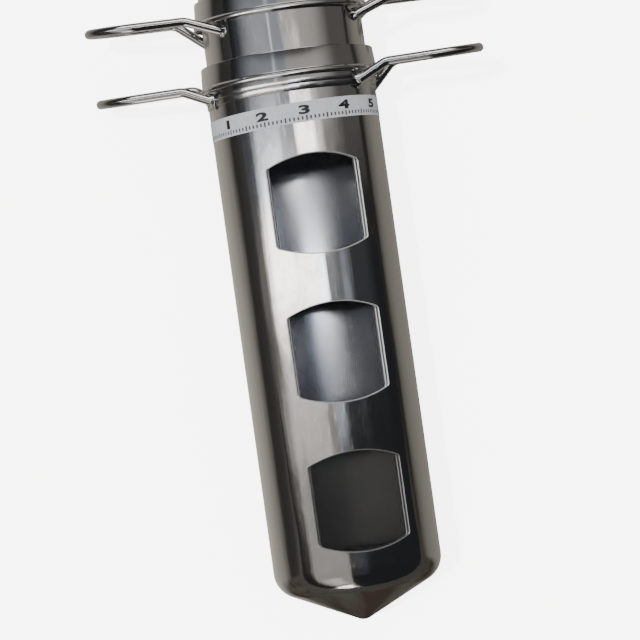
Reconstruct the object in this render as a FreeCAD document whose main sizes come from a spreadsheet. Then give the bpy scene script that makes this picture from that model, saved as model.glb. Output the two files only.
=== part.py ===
import FreeCAD, Part
import Sketcher
import math
import os

# Grain sampling probe: a twist probe of two polished tubes, one inside the other.
# Each piece is drawn upright, with Z up from the tip and its windows towards -Y.
# Then every piece is laid down the same way: tip towards -Y, windows up, resting on the lower collar's lip.
# The origin is on the floor under the middle of the probe. Lengths are in millimetres, angles in degrees.

Vector = FreeCAD.Vector
X_AXIS = Vector(1, 0, 0)
Y_AXIS = Vector(0, 1, 0)
Z_AXIS = Vector(0, 0, 1)

doc = FreeCAD.newDocument("grain_probe")

# Driving sizes
SIZES = [
    ("tube_diameter", 76.1, "outer tube, outside"),
    ("tube_wall", 1.5, "outer tube wall"),
    ("turning_gap", 0.3, "radial gap between the two tubes"),
    ("inner_wall", 1.5, "inner tube wall"),
    ("fit_gap", 0.05, "gap where one fixed piece is slipped over another"),
    ("flank_slope", 26, "slope of the cone's flank, above square to the axis"),
    ("tip_radius", 6, "radius of the blunt tip"),
    ("shoulder_radius", 12, "radius between cone and tube"),
    ("nose_wall", 3, "wall of the nose cone"),
    ("nose_skirt", 1, "straight part of the nose above its shoulder"),
    ("register_length", 2, "length of the nose inside the outer tube"),
    ("thrust_gap", 0.3, "gap between the nose's register and the end disc"),
    ("disc_thickness", 1.5, "disc that closes the inner tube's lower end"),
    ("window_count", 3, "windows along the tube"),
    ("window_floor", 6.4, "from the nose's seam to the lowest window"),
    ("window_length", 44, "along the tube, from arch to arch"),
    ("window_pitch", 66, "from window to window"),
    ("window_half_angle", 32.5, "half of the arc that a window takes"),
    ("arch_rise", 4.7, "rise of a window's arched end"),
    ("window_corner", 1.5, "radius of a window's corner"),
    ("label_start", 13.9, "from the top of the highest window to the label"),
    ("label_width", 9, "label strip, along the tube"),
    ("label_thickness", 0.2, "label strip"),
    ("label_half_angle", 98, "half of the arc that the label takes"),
    ("label_slant", 1.5, "the label is stuck on askew by this angle"),
    ("ring_start", 5.2, "from the label to the stepped ring"),
    ("ring_small_length", 2.8, "lower step of the ring"),
    ("ring_large_length", 3.8, "upper step of the ring, up to the collar"),
    ("ring_small_wall", 0.45, "lower step of the ring"),
    ("ring_large_wall", 0.95, "upper step of the ring"),
    ("collar_length", 11.8, "both collars, along the tube"),
    ("lower_collar_wall", 1, "lower collar at its top edge"),
    ("upper_collar_wall", 1.95, "upper collar at its top edge"),
    ("collar_flare", 0.7, "growth of a collar's radius from its top to its lip"),
    ("lip_height", 1.7, "lip at a collar's lower edge, along the tube"),
    ("lip_projection", 0.8, "lip beyond the collar's own flare"),
    ("edge_bevel", 0.35, "bevel of the collars' edges"),
    ("neck_length", 17.8, "inner tube between the two collars"),
    ("mouth_length", 2.2, "inner tube above the upper collar"),
    ("wire_diameter", 4.2, "handle wire"),
    ("loop_reach", 89, "from the axis to the end of a loop"),
    ("loop_spacing", 42, "between the two legs of a loop"),
    ("loop_rise", 4, "middle of a loop above the lip it is welded under"),
    ("loop_tilt", 6, "the leg on the window side is lower than the other"),
    ("elbow_reach", 46, "from the axis to a leg's elbow"),
    ("elbow_radius", 7, "bend of the wire at its elbow"),
    ("front_weld_drop", 4.5, "weld of the window side's leg below the lip"),
    ("rear_weld_drop", 7, "weld of the other leg below the lip"),
    ("weld_radius", 3.2, "fillet of weld at the end of a leg"),
    ("weld_length", 3.6, "fillet of weld, along the leg"),
    ("lower_pair_turn", -14.5, "lower pair of loops, turned from the windows"),
    ("upper_pair_turn", 0, "upper pair of loops, turned from the inner windows"),
]

sheet = doc.addObject("Spreadsheet::Sheet", "Sizes")
for row, (alias, amount, note) in enumerate(SIZES, start=1):
    sheet.set(f"A{row}", alias)
    sheet.set(f"B{row}", str(amount))
    sheet.set(f"C{row}", note)
    sheet.setAlias(f"B{row}", alias)
doc.recompute()

NAMES = {alias for alias, amount, note in SIZES}


def formula(words):
    """The formula with each size's name turned into its cell of the sheet."""
    out = ""
    word = ""
    for letter in words + " ":
        if letter.isalnum() or letter == "_":
            word += letter
            continue
        out += f"Sizes.{word}" if word in NAMES else word
        out += letter
        word = ""
    return out.strip()


def number(words):
    """What a formula comes to now."""
    found = sheet.evalExpression(formula(words))
    return float(getattr(found, "Value", found))


def bind(item, place, words):
    """Ties one property of an object to a formula of the sheet's sizes."""
    item.setExpression(place, formula(words))


# Radii and heights that follow from the driving sizes, upright, from the tip
R_TUBE = "(tube_diameter / 2)"
R_TUBE_BORE = f"({R_TUBE} - tube_wall)"
R_NECK = f"({R_TUBE_BORE} - turning_gap)"
R_NECK_BORE = f"({R_NECK} - inner_wall)"
R_SHOULDER_CENTRE = f"({R_TUBE} - shoulder_radius)"
Z_SHOULDER = (
    f"((sin(flank_slope) * {R_SHOULDER_CENTRE} + shoulder_radius - tip_radius * (1 - cos(flank_slope)))"
    " / cos(flank_slope))"
)
Z_HOLLOW_TIP = "(tip_radius - (tip_radius - nose_wall) / cos(flank_slope))"
Z_SEAM = f"({Z_SHOULDER} + nose_skirt)"
Z_REGISTER = f"({Z_SEAM} + register_length)"
Z_DISC = f"({Z_REGISTER} + thrust_gap)"
Z_INNER_FOOT = f"({Z_DISC} + disc_thickness)"
Z_WINDOWS = f"({Z_SEAM} + window_floor)"
Z_WINDOWS_TOP = f"({Z_WINDOWS} + window_length + (window_count - 1) * window_pitch)"
Z_LABEL = f"({Z_WINDOWS_TOP} + label_start)"
Z_RING = f"({Z_LABEL} + label_width + ring_start)"
Z_RING_STEP = f"({Z_RING} + ring_small_length)"
Z_LOWER_LIP = f"({Z_RING_STEP} + ring_large_length)"
Z_LOWER_TOP = f"({Z_LOWER_LIP} + collar_length)"
Z_UPPER_LIP = f"({Z_LOWER_TOP} + neck_length)"
Z_UPPER_TOP = f"({Z_UPPER_LIP} + collar_length)"
Z_MOUTH = f"({Z_UPPER_TOP} + mouth_length)"
R_LOWER_LIP = f"({R_TUBE} + fit_gap + lower_collar_wall + collar_flare + lip_projection)"
R_UPPER_LIP = f"({R_NECK} + fit_gap + upper_collar_wall + collar_flare + lip_projection)"
AXIS_HEIGHT = f"max({R_LOWER_LIP}; {R_UPPER_LIP})"

OVERRUN = 5  # how far a cutting tool runs past the piece it cuts
SAME = 0.001  # two edges closer than this are the same edge


def lay_down(item, label):
    """Names a finished piece and lays it on the floor with the others."""
    item.Label = label
    item.Placement = FreeCAD.Placement(Vector(0, 0, 0), FreeCAD.Rotation(X_AXIS, -90))
    bind(item, "Placement.Base.y", f"-{Z_MOUTH} / 2")
    bind(item, "Placement.Base.z", AXIS_HEIGHT)
    return item


def sketch_on(body, role, name):
    """An empty sketch on one of the body's own planes."""
    sketch = body.newObject("Sketcher::SketchObject", name)
    plane = next(item for item in body.Origin.OriginFeatures if item.Role == role)
    sketch.AttachmentSupport = (plane, [""])
    sketch.MapMode = "FlatFace"
    return sketch


def size_point(sketch, line, end, across, along, name):
    """Holds a point of the sketch at two formulas, across from the axis and along it."""
    ways = (("DistanceX", across, "across"), ("DistanceY", along, "along"))
    for kind, words, way in ways:
        made = sketch.addConstraint(Sketcher.Constraint(kind, -1, 1, line, end, number(words)))
        sketch.renameConstraint(made, f"{name}_{way}")
        bind(sketch, f"Constraints.{name}_{way}", words)


def turned_body(name, corners):
    """A body turned from a closed outline of straight lines, given as (radius, height) formulas."""
    body = doc.addObject("PartDesign::Body", name)
    sketch = sketch_on(body, "XZ_Plane", f"{name}_outline")
    places = [Vector(number(radius), number(height), 0) for radius, height in corners]
    count = len(corners)
    for i in range(count):
        sketch.addGeometry(Part.LineSegment(places[i], places[(i + 1) % count]), False)
    for i in range(count):
        sketch.addConstraint(Sketcher.Constraint("Coincident", i, 2, (i + 1) % count, 1))
    for i, (radius, height) in enumerate(corners):
        size_point(sketch, i, 1, radius, height, f"corner_{i}")
    turn = body.newObject("PartDesign::Revolution", f"{name}_turned")
    turn.Profile = sketch
    turn.ReferenceAxis = (sketch, ["V_Axis"])
    turn.Angle = 360
    body.Tip = turn
    doc.recompute()
    return body


def bevel_edges(body, rings, size):
    """Bevels the circular edges of a turned body that lie at the given (radius, height) formulas."""
    base = body.Tip
    wanted = [(number(across), number(along)) for across, along in rings]
    names = []
    for i, edge in enumerate(base.Shape.Edges, start=1):
        if not isinstance(edge.Curve, Part.Circle):
            continue
        for across, along in wanted:
            same_radius = abs(edge.Curve.Radius - across) < SAME
            if same_radius and abs(edge.Curve.Center.z - along) < SAME:
                names.append(f"Edge{i}")
    bevelled = body.newObject("PartDesign::Chamfer", f"{body.Name}_bevelled")
    bevelled.Base = (base, names)
    bind(bevelled, "Size", size)
    body.Tip = bevelled
    doc.recompute()


def nose_cone():
    """Hollow cap: blunt tip, straight flank, rounded shoulder, skirt, and a register that enters the tube."""
    body = doc.addObject("PartDesign::Body", "nose_body")
    sketch = sketch_on(body, "XZ_Plane", "nose_outline")
    slope = math.radians(number("flank_slope"))
    square = Vector(math.sin(slope), -math.cos(slope), 0)
    tip = Vector(0, number("tip_radius"), 0)
    shoulder = Vector(number(R_SHOULDER_CENTRE), number(Z_SHOULDER), 0)
    start = slope - math.pi / 2

    def arc(centre, radius, first, last):
        circle = Part.Circle(centre, Z_AXIS, radius)
        return Part.ArcOfCircle(circle, first, last)

    def line(first, last):
        return Part.LineSegment(first, last)

    outside = number(R_TUBE)
    inside = outside - number("nose_wall")
    register = number(f"{R_TUBE_BORE} - fit_gap")
    seam = number(Z_SEAM)
    top = number(Z_REGISTER)
    level = number(Z_SHOULDER)
    tip_round = number("tip_radius")
    shoulder_round = number("shoulder_radius")
    hollow_tip = Vector(0, number(Z_HOLLOW_TIP), 0)
    hollow_edge = Vector(inside, hollow_tip.y + inside * math.tan(slope), 0)
    pieces = [
        line(Vector(outside, seam, 0), Vector(outside, level, 0)),
        arc(shoulder, shoulder_round, start, 0),
        line(shoulder + square * shoulder_round, tip + square * tip_round),
        arc(tip, tip_round, -math.pi / 2, start),
        line(Vector(0, 0, 0), hollow_tip),
        line(hollow_tip, hollow_edge),
        line(hollow_edge, Vector(inside, top, 0)),
        line(Vector(inside, top, 0), Vector(register, top, 0)),
        line(Vector(register, top, 0), Vector(register, seam, 0)),
        line(Vector(register, seam, 0), Vector(outside, seam, 0)),
    ]
    sketch.addGeometry(pieces, False)
    rules = [
        ("Tangent", 0, 2, 1, 2),
        ("Tangent", 1, 1, 2, 1),
        ("Tangent", 2, 2, 3, 2),
        ("Coincident", 3, 1, 4, 1),
        ("Coincident", 4, 2, 5, 1),
        ("Coincident", 5, 2, 6, 1),
        ("Coincident", 6, 2, 7, 1),
        ("Coincident", 7, 2, 8, 1),
        ("Coincident", 8, 2, 9, 1),
        ("Coincident", 9, 2, 0, 1),
        ("Coincident", 4, 1, -1, 1),
        ("PointOnObject", 3, 3, -2),
        ("PointOnObject", 4, 2, -2),
        ("Parallel", 5, 2),
        ("Vertical", 0),
        ("Vertical", 6),
        ("Horizontal", 7),
        ("Vertical", 8),
        ("Horizontal", 9),
    ]
    for rule in rules:
        sketch.addConstraint(Sketcher.Constraint(*rule))
    sizes = [
        ("tip_round", ("Radius", 3), "tip_radius"),
        ("shoulder_round", ("Radius", 1), "shoulder_radius"),
        ("hollow_tip", ("DistanceY", -1, 1, 4, 2), Z_HOLLOW_TIP),
        ("inside", ("DistanceX", -1, 1, 6, 1), f"{R_TUBE} - nose_wall"),
        ("outside", ("DistanceX", -1, 1, 0, 1), R_TUBE),
        ("seam", ("DistanceY", -1, 1, 0, 1), Z_SEAM),
        ("shoulder_level", ("DistanceY", -1, 1, 1, 3), Z_SHOULDER),
        ("register", ("DistanceX", -1, 1, 8, 1), f"{R_TUBE_BORE} - fit_gap"),
        ("top", ("DistanceY", -1, 1, 7, 1), Z_REGISTER),
    ]
    for name, rule, words in sizes:
        made = sketch.addConstraint(Sketcher.Constraint(*rule, number(words)))
        sketch.renameConstraint(made, name)
        bind(sketch, f"Constraints.{name}", words)
    turn = body.newObject("PartDesign::Revolution", "nose_turned")
    turn.Profile = sketch
    turn.ReferenceAxis = (sketch, ["V_Axis"])
    turn.Angle = 360
    body.Tip = turn
    doc.recompute()
    return lay_down(body, "nose_cone")


def collar(label, bore, wall, lip):
    """A collar slipped over a tube: slightly flared, with a lip round its lower edge."""
    top_radius = f"({bore} + fit_gap + {wall})"
    lip_radius = f"({top_radius} + collar_flare + lip_projection)"
    shelf = f"({lip} + lip_height)"
    top = f"({lip} + collar_length)"
    corners = [
        (f"{bore} + fit_gap", lip),
        (lip_radius, lip),
        (lip_radius, shelf),
        (f"{top_radius} + collar_flare", f"{shelf} + lip_projection"),
        (top_radius, top),
        (f"{bore} + fit_gap", top),
    ]
    body = turned_body(f"{label}_body", corners)
    bevel_edges(body, [(lip_radius, lip), (lip_radius, shelf), (top_radius, top)], "edge_bevel")
    return lay_down(body, label)


def stepped_ring():
    """Thin ring of two steps between the label and the lower collar."""
    bore = f"({R_TUBE} + fit_gap)"
    corners = [
        (bore, Z_RING),
        (f"{bore} + ring_small_wall", Z_RING),
        (f"{bore} + ring_small_wall", Z_RING_STEP),
        (f"{bore} + ring_large_wall", Z_RING_STEP),
        (f"{bore} + ring_large_wall", Z_LOWER_LIP),
        (bore, Z_LOWER_LIP),
    ]
    return lay_down(turned_body("stepped_ring_body", corners), "stepped_ring")


def end_disc():
    """Flat disc that closes the inner tube's lower end."""
    body = doc.addObject("PartDesign::Body", "end_disc_body")
    sketch = sketch_on(body, "XY_Plane", "end_disc_outline")
    bind(sketch, "AttachmentOffset.Base.z", Z_DISC)
    radius = R_NECK
    sketch.addGeometry(Part.Circle(Vector(0, 0, 0), Z_AXIS, number(radius)), False)
    sketch.addConstraint(Sketcher.Constraint("Coincident", 0, 3, -1, 1))
    made = sketch.addConstraint(Sketcher.Constraint("Radius", 0, number(radius)))
    sketch.renameConstraint(made, "disc_radius")
    bind(sketch, "Constraints.disc_radius", radius)
    pad = body.newObject("PartDesign::Pad", "end_disc_pad")
    pad.Profile = sketch
    bind(pad, "Length", "disc_thickness")
    body.Tip = pad
    return lay_down(body, "end_disc")


def cylinder(name, radius, height, foot):
    """An upright cylinder on the axis, from formulas."""
    item = doc.addObject("Part::Cylinder", name)
    bind(item, "Radius", radius)
    bind(item, "Height", height)
    bind(item, "Placement.Base.z", foot)
    return item


def cut(name, base, tool):
    item = doc.addObject("Part::Cut", name)
    item.Base = base
    item.Tool = tool
    return item


def pipe(name, outside, bore, foot, top):
    """A plain round tube between two heights."""
    body = cylinder(f"{name}_outside", outside, f"{top} - {foot}", foot)
    hollow = cylinder(f"{name}_bore", bore, f"{top} - {foot} + 2 * {OVERRUN}", f"{foot} - {OVERRUN}")
    return cut(name, body, hollow)


def sector(name, half_angle, height, foot):
    """A wedge of a cylinder, wider than the tube, centred on the windows' side."""
    item = cylinder(name, f"{R_TUBE} + {OVERRUN}", height, foot)
    bind(item, "Angle", f"2 * {half_angle}")
    item.Placement.Rotation = FreeCAD.Rotation(Z_AXIS, -1)
    bind(item, "Placement.Rotation.Angle", f"-90 - {half_angle}")
    return item


def window_cutter(i):
    """The space of one window: a radial wedge between two arches, with its four corners rounded."""
    foot = f"({Z_WINDOWS} + {i} * window_pitch)"
    half_chord = f"({R_TUBE} * sin(window_half_angle))"
    arch = f"(({half_chord} * {half_chord} + arch_rise * arch_rise) / (2 * arch_rise))"
    length = f"window_length + 2 * {OVERRUN}"
    wedge = sector(f"window_wedge_{i}", "window_half_angle", length, f"{foot} - {OVERRUN}")
    arches = []
    centres = (("low", f"{foot} + {arch}"), ("high", f"{foot} + window_length - {arch}"))
    for end, centre in centres:
        item = cylinder(f"window_arch_{end}_{i}", arch, f"{R_TUBE} + 2 * {OVERRUN}", centre)
        item.Placement.Rotation = FreeCAD.Rotation(X_AXIS, 90)
        arches.append(item)
    space = doc.addObject("Part::MultiCommon", f"window_space_{i}")
    space.Shapes = [wedge] + arches
    doc.recompute()
    corners = [
        n for n, edge in enumerate(space.Shape.Edges, start=1) if is_window_corner(edge, number(R_TUBE))
    ]
    rounded = doc.addObject("Part::Fillet", f"window_{i}")
    rounded.Base = space
    radius = number("window_corner")
    rounded.Edges = [(n, radius, radius) for n in corners]
    return rounded


def is_window_corner(edge, tube_radius):
    """True for an edge that runs through the tube's wall, from near the axis to beyond the tube."""
    if len(edge.Vertexes) != 2:
        return False
    reach = [math.hypot(vertex.X, vertex.Y) for vertex in edge.Vertexes]
    return min(reach) < tube_radius / 2 and max(reach) > tube_radius


def window_tools():
    """All windows as one cutting tool, used on both tubes so that they line up."""
    tools = doc.addObject("Part::MultiFuse", "windows")
    tools.Shapes = [window_cutter(i) for i in range(int(number("window_count")))]
    doc.recompute()
    return tools


def windowed_tube(label, outside, bore, foot, top, windows):
    """A plain tube with the windows cut through its wall."""
    blank = pipe(f"{label}_blank", outside, bore, foot, top)
    return lay_down(cut(f"{label}_cut", blank, windows), label)


def label_strip():
    """Thin strip round the tube's window side, cut from a ring by a slab that stands a little askew."""
    blank = "(3 * label_width)"
    foot = f"({Z_LABEL} - label_width)"
    outside = f"({R_TUBE} + fit_gap + label_thickness)"
    ring = pipe("label_ring", outside, f"{R_TUBE} + fit_gap", foot, f"({foot} + {blank})")
    wedge = sector("label_wedge", "label_half_angle", blank, foot)
    slab = doc.addObject("Part::Box", "label_slab")
    bind(slab, "Length", f"2 * {R_TUBE} + 4 * {OVERRUN}")
    bind(slab, "Width", f"2 * {R_TUBE} + 4 * {OVERRUN}")
    bind(slab, "Height", "label_width")
    slab.Placement.Rotation = FreeCAD.Rotation(Y_AXIS, -1)
    bind(slab, "Placement.Rotation.Angle", "-label_slant")
    half = f"({R_TUBE} + 2 * {OVERRUN})"
    bind(slab, "Placement.Base.x", f"-{half} * cos(label_slant)")
    bind(slab, "Placement.Base.y", f"-{half}")
    bind(slab, "Placement.Base.z", f"{Z_LABEL} - {half} * sin(label_slant)")
    strip = doc.addObject("Part::MultiCommon", "label_strip_cut")
    strip.Shapes = [ring, wedge, slab]
    return lay_down(strip, "label_strip")


def bend(before, corner, after, radius):
    """The arc that rounds a corner, as (where it starts, its middle, where it ends)."""
    back = (before - corner).normalize()
    ahead = (after - corner).normalize()
    half = back.getAngle(ahead) / 2
    run = radius / math.tan(half)
    middle = (back + ahead).normalize()
    depth = radius / math.sin(half) - radius
    return corner + back * run, corner + middle * depth, corner + ahead * run


def leg(side, depth, drop, seat, lip):
    """One leg of a loop, from just inside the wall it is welded to, to where the round end starts."""
    tilt = math.radians(number("loop_tilt"))
    offset = depth * number("loop_spacing") / 2
    y = offset * math.cos(tilt)
    z = lip + number("loop_rise") + offset * math.sin(tilt)
    round_start = number("loop_reach - wire_diameter / 2 - loop_spacing / 2")
    surface = math.sqrt(seat * seat - y * y)
    elbow = Vector(side * number("elbow_reach"), y, z)
    start = Vector(side * round_start, y, z)
    touch = Vector(side * surface, y, lip - drop)
    inward = (touch - elbow).normalize()
    weld = touch + inward * number("wire_diameter")
    return weld, elbow, start


def handle(label, side, seat_words, lip_words, turn_words, envelopes):
    """A loop of wire: two legs with their ends bent down under the lip, and a round outer end."""
    seat = number(seat_words)
    lip = number(lip_words)
    wire = number("wire_diameter / 2")
    front = leg(side, -1, number("front_weld_drop"), seat, lip)
    rear = leg(side, 1, number("rear_weld_drop"), seat, lip)
    far = Vector(side * number("loop_reach - wire_diameter / 2"), 0, lip + number("loop_rise"))

    def bent_leg(weld, elbow, start):
        first, middle, last = bend(weld, elbow, start, number("elbow_radius"))
        return [
            Part.LineSegment(weld, first).toShape(),
            Part.Arc(first, middle, last).toShape(),
            Part.LineSegment(last, start).toShape(),
        ]

    outer_end = Part.Arc(front[2], far, rear[2]).toShape()
    edges = bent_leg(*front) + [outer_end] + bent_leg(*rear)
    route = Part.Wire(Part.__sortEdges__(edges))
    first = front[0]
    along = (front[1] - front[0]).normalize()
    ring = Part.Wire([Part.Circle(first, along, wire).toShape()])
    rod = route.makePipeShell([ring], True, True)
    size = number("weld_radius")
    length = number("wire_diameter + weld_length")
    beads = [
        Part.makeCone(size, wire, length, weld, (elbow - weld).normalize())
        for weld, elbow, start in (front, rear)
    ]
    shape = rod.multiFuse(beads)
    for tool in envelopes():
        shape = shape.cut(tool)
    shape = shape.removeSplitter()
    solids = sorted(shape.Solids, key=lambda solid: solid.Volume)
    item = doc.addObject("Part::Feature", f"{label}_wire")
    turn = FreeCAD.Rotation(Z_AXIS, number(turn_words)).toMatrix()
    item.Shape = solids[-1].transformed(turn, copy=True)
    return lay_down(item, label)


def drum(radius_words, foot_words, top_words):
    """A cylinder that the ends of a handle are shaped to."""
    foot = number(foot_words)
    return Part.makeCylinder(number(radius_words), number(top_words) - foot, Vector(0, 0, foot))


def lower_envelopes():
    """What the lower loops are welded on: the tube, the two steps of the ring, and the collar's lip."""
    return [
        drum(f"{R_TUBE} + fit_gap", Z_SEAM, Z_RING),
        drum(f"{R_TUBE} + 2 * fit_gap + ring_small_wall", Z_RING, Z_RING_STEP),
        drum(f"{R_TUBE} + 2 * fit_gap + ring_large_wall", Z_RING_STEP, f"{Z_LOWER_LIP} - fit_gap"),
        drum(f"{R_LOWER_LIP} + fit_gap", f"{Z_LOWER_LIP} - fit_gap", Z_LOWER_TOP),
    ]


def upper_envelopes():
    """What the upper loops are welded on: the inner tube and the upper collar's lip."""
    return [
        drum(f"{R_NECK} + fit_gap", Z_LOWER_TOP, Z_UPPER_LIP),
        drum(f"{R_UPPER_LIP} + fit_gap", f"{Z_UPPER_LIP} - fit_gap", Z_UPPER_TOP),
    ]


def make_pieces():
    windows = window_tools()
    pieces = [
        windowed_tube("outer_tube", R_TUBE, R_TUBE_BORE, Z_SEAM, Z_LOWER_TOP, windows),
        nose_cone(),
        stepped_ring(),
        collar("lower_collar", R_TUBE, "lower_collar_wall", Z_LOWER_LIP),
        label_strip(),
        windowed_tube("inner_tube", R_NECK, R_NECK_BORE, Z_INNER_FOOT, Z_MOUTH, windows),
        end_disc(),
        collar("upper_collar", R_NECK, "upper_collar_wall", Z_UPPER_LIP),
    ]
    for name, side in (("left", -1), ("right", 1)):
        pieces.append(handle(f"lower_handle_{name}", side, f"{R_TUBE} + ring_large_wall",
                             Z_LOWER_LIP, "lower_pair_turn", lower_envelopes))
        pieces.append(handle(f"upper_handle_{name}", side, R_NECK,
                             Z_UPPER_LIP, "upper_pair_turn", upper_envelopes))
    return pieces


def check(pieces):
    """Stops before anything is written if an object failed or a shape is empty or broken."""
    for item in doc.Objects:
        for fault in ("Invalid", "Error"):
            if fault in item.State:
                raise RuntimeError(f"{item.Name} is in state {item.State}")
    for piece in pieces:
        shape = piece.Shape
        if shape.isNull() or not shape.isValid() or not shape.Solids:
            raise RuntimeError(f"{piece.Label} has no sound shape")


pieces = make_pieces()
doc.recompute()
check(pieces)
os.makedirs("parts", exist_ok=True)
for piece in pieces:
    piece.Shape.exportStep(f"parts/{piece.Label}.step")
    print(f"{piece.Label}: {piece.Shape.Volume:.0f} mm3 in {len(piece.Shape.Faces)} faces")
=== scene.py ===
import bpy
import bmesh
import math
from mathutils import Matrix, Vector
from mathutils.geometry import delaunay_2d_cdt


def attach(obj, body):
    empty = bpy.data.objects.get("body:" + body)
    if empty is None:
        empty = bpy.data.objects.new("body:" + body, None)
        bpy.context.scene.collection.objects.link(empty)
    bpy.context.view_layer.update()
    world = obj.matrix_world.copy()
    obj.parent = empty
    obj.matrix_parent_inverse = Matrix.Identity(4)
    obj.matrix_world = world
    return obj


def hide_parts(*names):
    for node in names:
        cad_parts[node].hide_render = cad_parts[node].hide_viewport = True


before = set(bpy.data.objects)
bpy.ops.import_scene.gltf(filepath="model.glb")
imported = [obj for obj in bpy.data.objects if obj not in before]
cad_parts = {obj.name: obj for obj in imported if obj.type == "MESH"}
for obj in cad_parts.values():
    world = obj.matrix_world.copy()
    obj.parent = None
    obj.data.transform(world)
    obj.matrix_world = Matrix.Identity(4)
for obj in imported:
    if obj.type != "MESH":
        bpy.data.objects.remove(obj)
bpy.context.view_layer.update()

# Sizes of the probe in millimetres. Heights run along the tube, from the tip of the nose to the mouth.
MM = 0.001
LENGTH = 287.078
AXIS_HEIGHT = 40.6
TUBE_RADIUS = 38.05
TUBE_BORE = 36.55
INNER_RADIUS = 36.25
INNER_BORE = 34.75
FIT_GAP = 0.05
SEAM = 26.381
INNER_FOOT = 30.181
LABEL_FOOT = 222.678
RING_FOOT = 236.878
RING_STEP = 239.678
LOWER_LIP = 243.478
LOWER_TOP = 255.278
UPPER_LIP = 273.078
SEATING = 0.01
SIDES = 256
FULL_TURN = 2 * math.pi

# Nose
TIP_RADIUS = 6.0
FLANK_SLOPE = math.radians(26)
SHOULDER_RADIUS = 12.0
SHOULDER_DROP = 1.0
NOSE_WALL = 3.0
HOLLOW_FOOT = 7.0
HOLLOW_DROP = 3.0
REGISTER_LENGTH = 2.0

# Windows
WINDOW_COUNT = 3
WINDOW_FOOT = SEAM + 6.4
WINDOW_LENGTH = 44.0
WINDOW_PITCH = 66.0
WINDOW_HALF_ANGLE = math.radians(32.5)
WINDOW_ARCH = 46.8
WINDOW_CORNER = 1.5
ARCH_STEPS = 20
CORNER_STEPS = 6
SIDE_STEPS = 12
DEBURR_WIDTH = 0.42
DEBURR_DEPTH = 0.36
ROW_STEP = 6.0
WINDOW_MARGIN = 0.5
NEAR_EDGE_SQUARED = 0.2

# Collars and ring
COLLAR_LENGTH = 11.8
COLLAR_FLARE = 0.7
LIP_HEIGHT = 1.7
LIP_PROJECTION = 0.8
EDGE_BEVEL = 0.35
SHELF_BEVEL = 0.6
BEVEL_STEPS = 4
RING_BEVELS = {1: 0.15, 3: 0.2, 4: 0.12}
LIP_GAP = 0.02
RING_SMALL_WALL = 0.45
RING_LARGE_WALL = 0.95
LOWER_COLLAR_WALL = 1.0
UPPER_COLLAR_WALL = 1.95
SLEEVE_BEVEL = 0.25
MOUTH_BEVEL = 0.4

# Wire loops
WIRE_RADIUS = 2.1
LOOP_REACH = 89.0
LOOP_SPACING = 42.0
LOOP_RISE = 4.0
LOOP_TILT = math.radians(6)
ELBOW_REACH = 46.0
ELBOW_RADIUS = 7.0
FRONT_WELD_DROP = 4.5
REAR_WELD_DROP = 7.0
LOWER_PAIR_TURN = math.radians(14.5)
ROOT_DEPTH = 5.0
WELD_LENGTH = 9.5
WELD_GROWTH = 1.5
BEAD_HEIGHT = 1.8
BEAD_GROWTH = 1.3
BEAD_REACH = 12.0
BEAD_LUMPS = 9
BEAD_LUMP_SHARE = 0.28
BEAD_DRIFTS = 3
BEAD_DRIFT_SHARE = 0.15
WELD_SINK = 0.25

# Label and its print
LABEL_WIDTH = 9.0
LABEL_FILM = 0.12
LABEL_LIFT = 0.01
LABEL_HALF_ANGLE = math.radians(98)
LABEL_SLANT = math.tan(math.radians(1.5))
LABEL_STEPS = 160
PRINT_DEPTH = 0.03
PRINT_LIFT = LABEL_FILM + 0.012
PRINT_STRIP = 0.5
FIGURES = (("1", -59), ("2", -30), ("3", -1), ("4", 28), ("5", 57))
FIGURE_SIZE = 6.6
FIGURE_BOLDNESS = 0.3
FIGURE_STRETCH = 1.7
FIGURE_SQUASH = 0.78
FIGURE_FOOT = 3.6
TICK_COUNT = 81
TICK_PITCH = 1.9
TICK_MIDDLE = 1.75
TICK_WIDTH = 0.8
TICK_HEIGHT = 1.5
TALL_TICK = 1.5


def place(angle, radius, height):
    """A point of the lying probe, from its turn round the tube (0 in the windows' middle), its radius and its
    height."""
    return Vector((radius * math.sin(angle), height - LENGTH / 2,
                   AXIS_HEIGHT + radius * math.cos(angle))) * MM


def lay_down():
    """Turns a piece made upright, with its windows' side towards -Y, into its place on the floor."""
    upright = Matrix(((1, 0, 0, 0), (0, 0, 1, -LENGTH / 2), (0, -1, 0, AXIS_HEIGHT), (0, 0, 0, 1)))
    return Matrix.Scale(MM, 4) @ upright


# Materials

def new_material(name):
    """A material with nothing but a Principled shader, with its node tree and that shader."""
    made = bpy.data.materials.new(name)
    made.use_nodes = True
    tree = made.node_tree
    tree.nodes.clear()
    out = tree.nodes.new("ShaderNodeOutputMaterial")
    shader = tree.nodes.new("ShaderNodeBsdfPrincipled")
    tree.links.new(shader.outputs["BSDF"], out.inputs["Surface"])
    return made, tree, shader


def stretched(tree, scale):
    """Object coordinates of a piece, drawn out by a scale for each direction."""
    source = tree.nodes.new("ShaderNodeTexCoord")
    mapping = tree.nodes.new("ShaderNodeMapping")
    mapping.inputs["Scale"].default_value = scale
    tree.links.new(source.outputs["Object"], mapping.inputs["Vector"])
    return mapping.outputs["Vector"]


def parts_of_place(tree, *axes):
    """The named parts of Object coordinates, in metres: X across the tube, Y along it."""
    source = tree.nodes.new("ShaderNodeTexCoord")
    split = tree.nodes.new("ShaderNodeSeparateXYZ")
    tree.links.new(source.outputs["Object"], split.inputs["Vector"])
    return [split.outputs[axis] for axis in axes]


def grain(tree, scale, fineness, detail, roughness=0.55):
    """A noise pattern; scale stretches it, fineness is its size."""
    noise = tree.nodes.new("ShaderNodeTexNoise")
    noise.inputs["Scale"].default_value = fineness
    noise.inputs["Detail"].default_value = detail
    noise.inputs["Roughness"].default_value = roughness
    tree.links.new(stretched(tree, scale), noise.inputs["Vector"])
    return noise.outputs["Fac"]


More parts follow.
